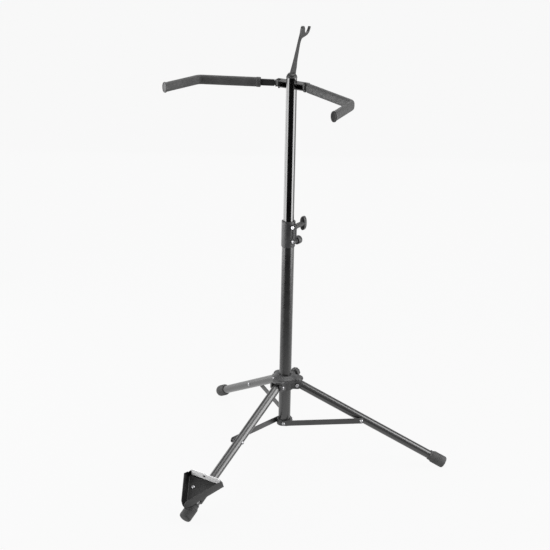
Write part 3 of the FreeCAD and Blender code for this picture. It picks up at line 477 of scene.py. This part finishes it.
def make_clamp_knob():
    half_width, half_height, power = 8.6, 20.5, 2.2
    start = EAR_HALF_WIDTH + 2 * GAP
    neck = NECK_END - start

    def wing(angle):
        return ((abs(math.cos(angle)) / half_width) ** power
                + (abs(math.sin(angle)) / half_height) ** power) ** (-1 / power)

    rings = fine_rings([(3.05, 0.4), (3.4, 0), (NECK_RADIUS - 0.4, 0), (NECK_RADIUS, 0.5),
                        (NECK_RADIUS, neck - 0.1)])
    for inset, level in ((1.3, 0.0), (0.4, 0.4), (0.0, 1.3), (0.0, KNOB_THICKNESS - 2.4),
                         (0.4, KNOB_THICKNESS - 1.1), (1.2, KNOB_THICKNESS - 0.3), (2.2, KNOB_THICKNESS)):
        rings.append(dome_ring(inset, neck + level, wing))
    end = neck + KNOB_THICKNESS
    rings += fine_rings([(4.9, end), (4.5, end - 0.4), (3.9, end - 1.0), (3.1, end - 1.1)])
    stand_in("clamp_knob", loft(rings), [at(SCREW_OFFSET, start, CLAMP_HEIGHT, axis=(0, 1, 0))])

    length = 56.5
    screw = [(2.4, 0.0), (BOLT_RADIUS, 0.6)] + thread(BOLT_RADIUS, 0.7, 6.4, 0.9, 0.3)
    screw += [(BOLT_RADIUS, 6.6), (BOLT_RADIUS, length - 0.5), (2.4, length)]
    stand_in("clamp_screw", turned(screw), [at(SCREW_OFFSET, -SCREW_TAIL, CLAMP_HEIGHT, axis=(0, 1, 0))])


def make_hub_knob():
    def fluted(angle):
        return HUB_KNOB_RADIUS - 1.2 * (0.5 - 0.5 * math.cos(9 * angle)) ** 0.8

    rings = fine_rings([(4.1, 0.4), (4.5, 0), (6.7, 0), (7.0, 0.4), (7.0, 4.0), (11.0, 4.6)])
    for inset, level in ((1.8, 5.2), (0.5, 5.9), (0.0, 7.0), (0.0, 17.0), (0.5, 18.5), (1.8, 19.6),
                         (3.2, 20.0), (4.4, 19.9), (5.0, 19.2)):
        rings.append(dome_ring(inset, level, fluted))
    rings += fine_rings([(6.0, 18.9), (3.0, 18.9)])
    stand_in("hub_lock_knob", loft(rings), [at(0, HUB_KNOB_START, HUB_KNOB_HEIGHT, axis=(0, 1, 0))])

    start = LOWER_TUBE_RADIUS + 3 * GAP
    radius = HUB_SCREW_RADIUS
    screw = [(radius - 0.6, 0.0), (radius, 0.8)] + thread(radius, 1.0, 36.0, 1.25, 0.4)
    screw += [(radius, 36.5), (radius, 38.0), (radius - 0.6, 38.5)]
    stand_in("hub_lock_screw", turned(screw), [at(0, start, HUB_KNOB_HEIGHT, axis=(0, 1, 0))])


# ---------------------------------------------------------------- feet

def foot_profile():
    """Bore, collar ring, shoulder, three grooves and the rounded toe, from the mouth down."""
    bore, mouth, tip = LEG_TUBE_RADIUS + GAP, FOOT_MOUTH_RADIUS, FOOT_TIP_RADIUS
    profile = [(bore, 40.0), (bore, 0.5), (bore + 0.5, 0.0), (mouth - 0.5, 0.0), (mouth, 0.5), (mouth, 4.6),
               (mouth - 0.3, 5.1), (mouth - 0.6, 5.3), (mouth - 0.6, 6.1), (mouth - 0.2, 6.4)]
    profile += [(tip - 2.3, 7.6), (tip - 1.0, 10.6), (tip - 0.3, 12.4), (tip, 13.8)]
    for groove in (17.0, 22.0, 27.0):
        for depth, level in ((0.0, 0.0), (0.4, 0.3), (0.7, 0.9), (0.7, 1.5), (0.4, 2.1), (0.0, 2.4)):
            profile.append((tip - depth, groove + level))
    for depth, level in ((0.0, 6.5), (0.2, 4.4), (0.9, 2.6), (2.2, 1.2), (4.0, 0.3), (6.0, 0.0)):
        profile.append((tip - depth, FOOT_LENGTH - level))
    profile.append((5.0, FOOT_LENGTH))
    return profile


def make_feet():
    for side in LEG_ANGLES:
        bm = turned(foot_profile())
        bmesh.ops.transform(bm, matrix=leg_frame(side) @ at(z=FOOT_MOUTH), verts=bm.verts)
        everything = list(bm.verts) + list(bm.edges) + list(bm.faces)
        sliced = bmesh.ops.bisect_plane(bm, geom=everything, plane_co=(0, 0, 0), plane_no=(0, 0, -1),
                                        clear_outer=True)
        rim = [item for item in sliced["geom_cut"] if isinstance(item, bmesh.types.BMEdge)]
        bmesh.ops.contextual_create(bm, geom=rim)
        stand_in(side + "_foot", bm)


# ---------------------------------------------------------------- arms

def arm_section(station, sign):
    """Place and direction of the arm's centre line at a distance along it, in its own plane."""
    bend = math.radians(ARM_BEND)
    tangent = BEND_RADIUS * math.tan(bend / 2)
    first = ARM_STRAIGHT - tangent
    arc = BEND_RADIUS * bend
    if station <= first:
        return Vector((station, 0, 0)), 0.0
    if station <= first + arc:
        turn = (station - first) / BEND_RADIUS
        return Vector((first + BEND_RADIUS * math.sin(turn),
                       -sign * BEND_RADIUS * (1 - math.cos(turn)), 0)), -sign * turn
    rest = station - first - arc + tangent
    return Vector((ARM_STRAIGHT + rest * math.cos(bend), -sign * rest * math.sin(bend), 0)), -sign * bend


def arm_length():
    bend = math.radians(ARM_BEND)
    tangent = BEND_RADIUS * math.tan(bend / 2)
    return ARM_STRAIGHT - tangent + BEND_RADIUS * bend + ARM_END_RUN - tangent


def oval(half_width, half_height, power=2.6):
    """Rounded section as (across, up) pairs."""
    points = []
    for index in range(OVAL_SEGMENTS):
        angle = 2 * math.pi * index / OVAL_SEGMENTS
        c, s = math.cos(angle), math.sin(angle)
        points.append((half_width * math.copysign(abs(c) ** (2 / power), c),
                       half_height * math.copysign(abs(s) ** (2 / power), s)))
    return points


def sleeve_rows(start, end, swell):
    """Rings along a sleeve as (station, how far proud, outside or bore), out and back."""
    band = 13.0
    rows = [(start + 0.8, 0.0, False), (start, -1.4, True), (start + 0.25, -0.4, True),
            (start + 0.9, 0.5 * swell, True), (start + 2.0, swell, True)]
    for station, share in ((-2.2, 1.0), (-1.2, 0.6), (-0.6, -0.1), (0.0, -0.6), (0.8, -0.2), (1.8, 0.0)):
        rows.append((start + band + station, share * swell, True))
    station = start + band + 8.0
    while station < end - 4.0:
        rows.append((station, 0.0, True))
        station += 3.0
    rows += [(end - 1.6, 0.0, True), (end - 0.6, -0.3, True), (end - 0.1, -1.1, True),
             (end - 0.1, 0.0, False)]
    station = end - 4.0
    while station > start + 3.0:
        rows.append((station, 0.0, False))
        station -= 4.0
    return rows


def make_sleeve(side):
    sign = 1 if side == "right" else -1
    swell = 0.8 if side == "left" else 0.0
    slack = 0.15
    rings = []
    for station, proud, outer in sleeve_rows(SLEEVE_STARTS[side], arm_length() - END_CAP_THICKNESS, swell):
        centre, turn = arm_section(station, sign)
        across = Vector((-math.sin(turn), math.cos(turn), 0))
        if outer:
            shape = oval(SLEEVE_WIDTH / 2 + proud, SLEEVE_HEIGHT / 2 + proud)
        else:
            shape = oval(BAR_THICKNESS / 2 + slack, BAR_HEIGHT / 2 + slack, power=9.0)
        rings.append([centre + across * x + Vector((0, 0, y)) for x, y in shape])
    stand_in(side + "_arm_sleeve", loft(rings, closed=True), [arm_frame(side)])


def make_end_cap(side):
    sign = 1 if side == "right" else -1
    centre, turn = arm_section(arm_length() - END_CAP_THICKNESS + GAP, sign)
    rows = [(-5.0, 0.0), (-0.5, 0.0), (0.0, 0.5), (0.0, 2.4), (-0.4, 3.2), (-1.3, 3.8), (-2.6, 4.0),
            (-3.2, 3.9), (-3.7, 3.4), (-6.5, 3.3)]
    rings = []
    for inset, level in rows:
        shape = oval(END_CAP_WIDTH / 2 + inset, END_CAP_HEIGHT / 2 + inset, power=2.2)
        rings.append([Vector((level, x, y)) for x, y in shape])
    place = arm_frame(side) @ Matrix.Translation(centre) @ Matrix.Rotation(turn, 4, "Z")
    stand_in(side + "_arm_end_cap", loft(rings), [place])


# ---------------------------------------------------------------- bow hook

# Side view of the blade as (along +Y, up) from the plug's top: up one edge, round the far prong,
# into the throat, round the near prong and down the other edge.
HOOK_OUTLINE = [(-11.5, 0), (15, 0), (17, 10), (20, 22), (22.5, 38), (26.5, 53), (30.5, 67), (35, 82),
                (39.5, 91), (45, 96.5), (57, 99), (70, 101.5), (80, 106.5), (86, 114), (89, 121),
                (85.5, 123), (81.5, 116.5), (76.5, 110.5), (68, 107), (61.5, 108), (59.5, 113),
                (59.5, 121), (56.5, 127), (51.5, 129), (46.5, 126), (43.5, 118), (40.5, 108), (32, 90),
                (21.5, 66), (6, 33)]


def rounded_outline(points):
    """Smooth closed line through the corners, but for the first two, which stay sharp."""
    steps = 5
    result = []
    count = len(points)
    for index in range(count):
        a, b, c, d = (Vector(points[(index + shift) % count]) for shift in (-1, 0, 1, 2))
        if index == 0:
            result.append(b)
            continue
        if index == 1:
            a = b
        if index == count - 1:
            d = c
        for step in range(steps):
            t = step / steps
            result.append(0.5 * ((2 * b) + (c - a) * t + (2 * a - 5 * b + 4 * c - d) * t * t
                                 + (3 * b - a - 3 * c + d) * t ** 3))
    return result


def make_hook():
    line = rounded_outline(HOOK_OUTLINE)
    half = HOOK_THICKNESS / 2
    bm = bmesh.new()
    verts = [bm.verts.new((-half, point.x, point.y)) for point in line]
    face = bm.faces.new(verts)
    grown = bmesh.ops.extrude_face_region(bm, geom=[face])
    moved = [item for item in grown["geom"] if isinstance(item, bmesh.types.BMVert)]
    bmesh.ops.translate(bm, vec=(2 * half, 0, GAP), verts=moved)
    bmesh.ops.translate(bm, vec=(0, 0, GAP), verts=[vert for vert in bm.verts if vert not in moved])
    base = turned([(6.2, -15.0), (7.0, -14.0), (7.0, GAP), (13.5, GAP), (14.0, 0.5), (14.0, 2.6),
                   (13.3, 3.6), (9.7, 8.2), (8.8, 8.8), (7.0, 9.0)])
    part = bpy.data.meshes.new("base")
    base.to_mesh(part)
    base.free()
    bm.from_mesh(part)
    bpy.data.meshes.remove(part)
    place = MAST @ at(z=COLUMN_TOP + PLUG_RIM_HEIGHT)
    stand_in("bow_hook", bm, [place], bevel=1.2)


# ---------------------------------------------------------------- tray fasteners

def make_tray_fasteners():
    radius = PIVOT_RADIUS + TRAY_STATION * math.cos(LEG_SLOPE)
    height = PIVOT_HEIGHT - TRAY_STATION * math.sin(LEG_SLOPE)
    base = at(0, -radius, height) @ Matrix.Rotation(LEG_SLOPE, 4, "X")
    level = TRAY_RISE + SHEET + GAP
    length = TRAY_RISE + SHEET + CLAMP_DEPTH + NUT_HEIGHT + THREAD_END
    stand_in("tray_bolt", bolt(length, head=TRAY_HEAD_RADIUS),
             [base @ at(-TRAY_BOLT_OFFSET, 0, level, axis=(0, 0, -1))])
    stand_in("tray_nut", nut(), [base @ at(-TRAY_BOLT_OFFSET, 0, -CLAMP_DEPTH - GAP, axis=(0, 0, -1))])
    lean = Matrix.Rotation(math.radians(90.0 - WALL_LEAN), 4, "X")
    wall = base @ at(TRAY_SHIFT, 0, TRAY_RISE) @ at(0, TRAY_INRADIUS, 0) @ lean
    face = SHEET + GAP + SHEET / 2 + GAP
    stand_in("tray_rivet", rivet(RIVET_HEAD_RADIUS, RIVET_HEAD_HEIGHT, RIVET_RADIUS, 2 * SHEET),
             [wall @ at(0, RIVET_RISE, face, axis=(0, 0, -1))])


# ---------------------------------------------------------------- stage

def light_panel(name, radiance, size, centre, target):
    """Soft panel that faces a point; its power follows from its radiance."""
    data = bpy.data.lights.new(name, "AREA")
    data.shape = "RECTANGLE"
    data.size, data.size_y = size
    data.energy = radiance * math.pi * size[0] * size[1]
    lamp = bpy.data.objects.new(name, data)
    bpy.context.collection.objects.link(lamp)
    toward = (Vector(target) - Vector(centre)).normalized()
    lamp.matrix_world = Matrix.Translation(centre) @ toward.to_track_quat("-Z", "Y").to_matrix().to_4x4()
    lamp.visible_camera = False


def make_floor():
    half, glow, below = 20.0, 0.928, 0.0004
    mesh = bpy.data.meshes.new("floor")
    corners = [(-half, -half, 0), (half, -half, 0), (half, half, 0), (-half, half, 0)]
    mesh.from_pydata(corners, [], [(0, 1, 2, 3)])
    floor = bpy.data.objects.new("floor", mesh)
    material, _, shader = new_material("floor")
    shader.inputs["Base Color"].default_value = (0.01, 0.01, 0.01, 1)
    shader.inputs["Roughness"].default_value = 0.9
    shader.inputs["Specular IOR Level"].default_value = 0.1
    shader.inputs["Emission Color"].default_value = (1, 1, 1, 1)
    shader.inputs["Emission Strength"].default_value = glow
    mesh.materials.append(material)
    bpy.context.collection.objects.link(floor)
    floor.location.z = -below


def ramp(tree, value, low, high):
    """From 0 to 1 between two values."""
    item = tree.nodes.new("ShaderNodeMapRange")
    item.inputs["From Min"].default_value = low
    item.inputs["From Max"].default_value = high
    link(tree, value, item.inputs["Value"])
    return item.outputs["Result"]


def flag_material():
    """Black, and clear near the stand and on the side away from the camera."""
    material, tree, shader = new_material("flag")
    coords = tree.nodes.new("ShaderNodeTexCoord").outputs["Object"]
    length = tree.nodes.new("ShaderNodeVectorMath")
    length.operation = "LENGTH"
    link(tree, coords, length.inputs[0])
    parts = tree.nodes.new("ShaderNodeSeparateXYZ")
    link(tree, coords, parts.inputs[0])
    both = tree.nodes.new("ShaderNodeMath")
    both.operation = "MULTIPLY"
    link(tree, ramp(tree, length.outputs["Value"], 0.4, 1.3), both.inputs[0])
    link(tree, ramp(tree, parts.outputs["X"], -0.5, 0.5), both.inputs[1])
    link(tree, both.outputs["Value"], shader.inputs["Alpha"])
    shader.inputs["Base Color"].default_value = (0, 0, 0, 1)
    shader.inputs["Specular IOR Level"].default_value = 0.0
    return material


def make_flag(toward, across):
    """A dark ring on the floor that only reflections see, as flags do in a studio."""
    inner, outer, count, above = 0.35, 18.0, 96, 0.0006
    bm = loft([ring_points(inner, 0, count), ring_points(outer, 0, count)], caps=False)
    mesh = bpy.data.meshes.new("flag")
    bm.to_mesh(mesh)
    bm.free()
    flag = bpy.data.objects.new("flag", mesh)
    bpy.context.collection.objects.link(flag)
    turn = Matrix((toward, across, (0, 0, 1))).transposed().to_4x4()
    flag.matrix_world = Matrix.Translation((0, 0, above)) @ turn
    for kind in ("camera", "diffuse", "transmission", "volume_scatter", "shadow"):
        setattr(flag, "visible_" + kind, False)
    mesh.materials.append(flag_material())


def make_lights(toward, across):
    def around(degrees, reach, height):
        turn = math.radians(degrees)
        point = (toward * math.cos(turn) + across * math.sin(turn)) * reach
        return Vector((point.x, point.y, height))

    for name, degrees, radiance in (("panel_left", -74, 4.6), ("panel_right", 74, 5.4)):
        light_panel(name, radiance, (1.15, 2.2), around(degrees, 1.7, 1.15), (0, 0, 1.15))
    light_panel("panel_left_back", 3.0, (1.1, 0.9), around(-120, 1.8, 0.5), (0, 0, 1.0))
    light_panel("panel_back", 0.45, (5.0, 3.0), around(180, 3.0, 1.5), (0, 0, 1.0))
    light_panel("panel_top", 3.4, (2.4, 2.4), around(150, 0.6, 3.0), (0, 0, 0.5))


def make_world():
    world = bpy.data.worlds.new("world")
    bpy.context.scene.world = world
    world.use_nodes = True
    background = world.node_tree.nodes["Background"]
    background.inputs["Color"].default_value = (1, 1, 1, 1)
    background.inputs["Strength"].default_value = 0.35
    bpy.context.scene.view_settings.view_transform = "Standard"


def make_stage(azimuth):
    toward = Vector((math.sin(azimuth), -math.cos(azimuth), 0))
    across = Vector((math.cos(azimuth), math.sin(azimuth), 0))
    make_floor()
    make_flag(toward, across)
    make_lights(toward, across)
    make_world()


# ---------------------------------------------------------------- build

for name, obj in nodes.items():
    obj.data.materials.clear()
    obj.data.materials.append(MATERIALS[slot_of[name]])

# Width of the rounded edges on pieces whose CAD shape is right, in millimetres.
SOFT_EDGES = {
    "strut_spider": 1.4, "clamp_collar": 0.7, "sliding_hub": 0.8, "tray_plate": 0.5,
    "tray_back_plate": 0.3, "tray_floor_pad": 0.4, "tray_clamp": 1.2, "cross_bracket": 0.6,
    "tube_plug": 0.3, "guide_bush": 0.3, "left_arm_bar": 0.6, "right_arm_bar": 0.6,
    "collar_cap_nut": 0.8,
}
for side in LEG_ANGLES:
    SOFT_EDGES[side + "_strut"] = 0.5
    SOFT_EDGES[side + "_strut_spacer"] = 0.5
    SOFT_EDGES[side + "_leg_fitting"] = 0.6
for name, width in SOFT_EDGES.items():
    softened(name, width)

make_tripod_fasteners()
make_head_fasteners()
make_collar_fasteners()
make_strut_fasteners()
make_clamp_knob()
make_hub_knob()
make_feet()
for side in SLEEVE_STARTS:
    make_sleeve(side)
    make_end_cap(side)
make_hook()
make_tray_fasteners()
make_stage(aim_camera())
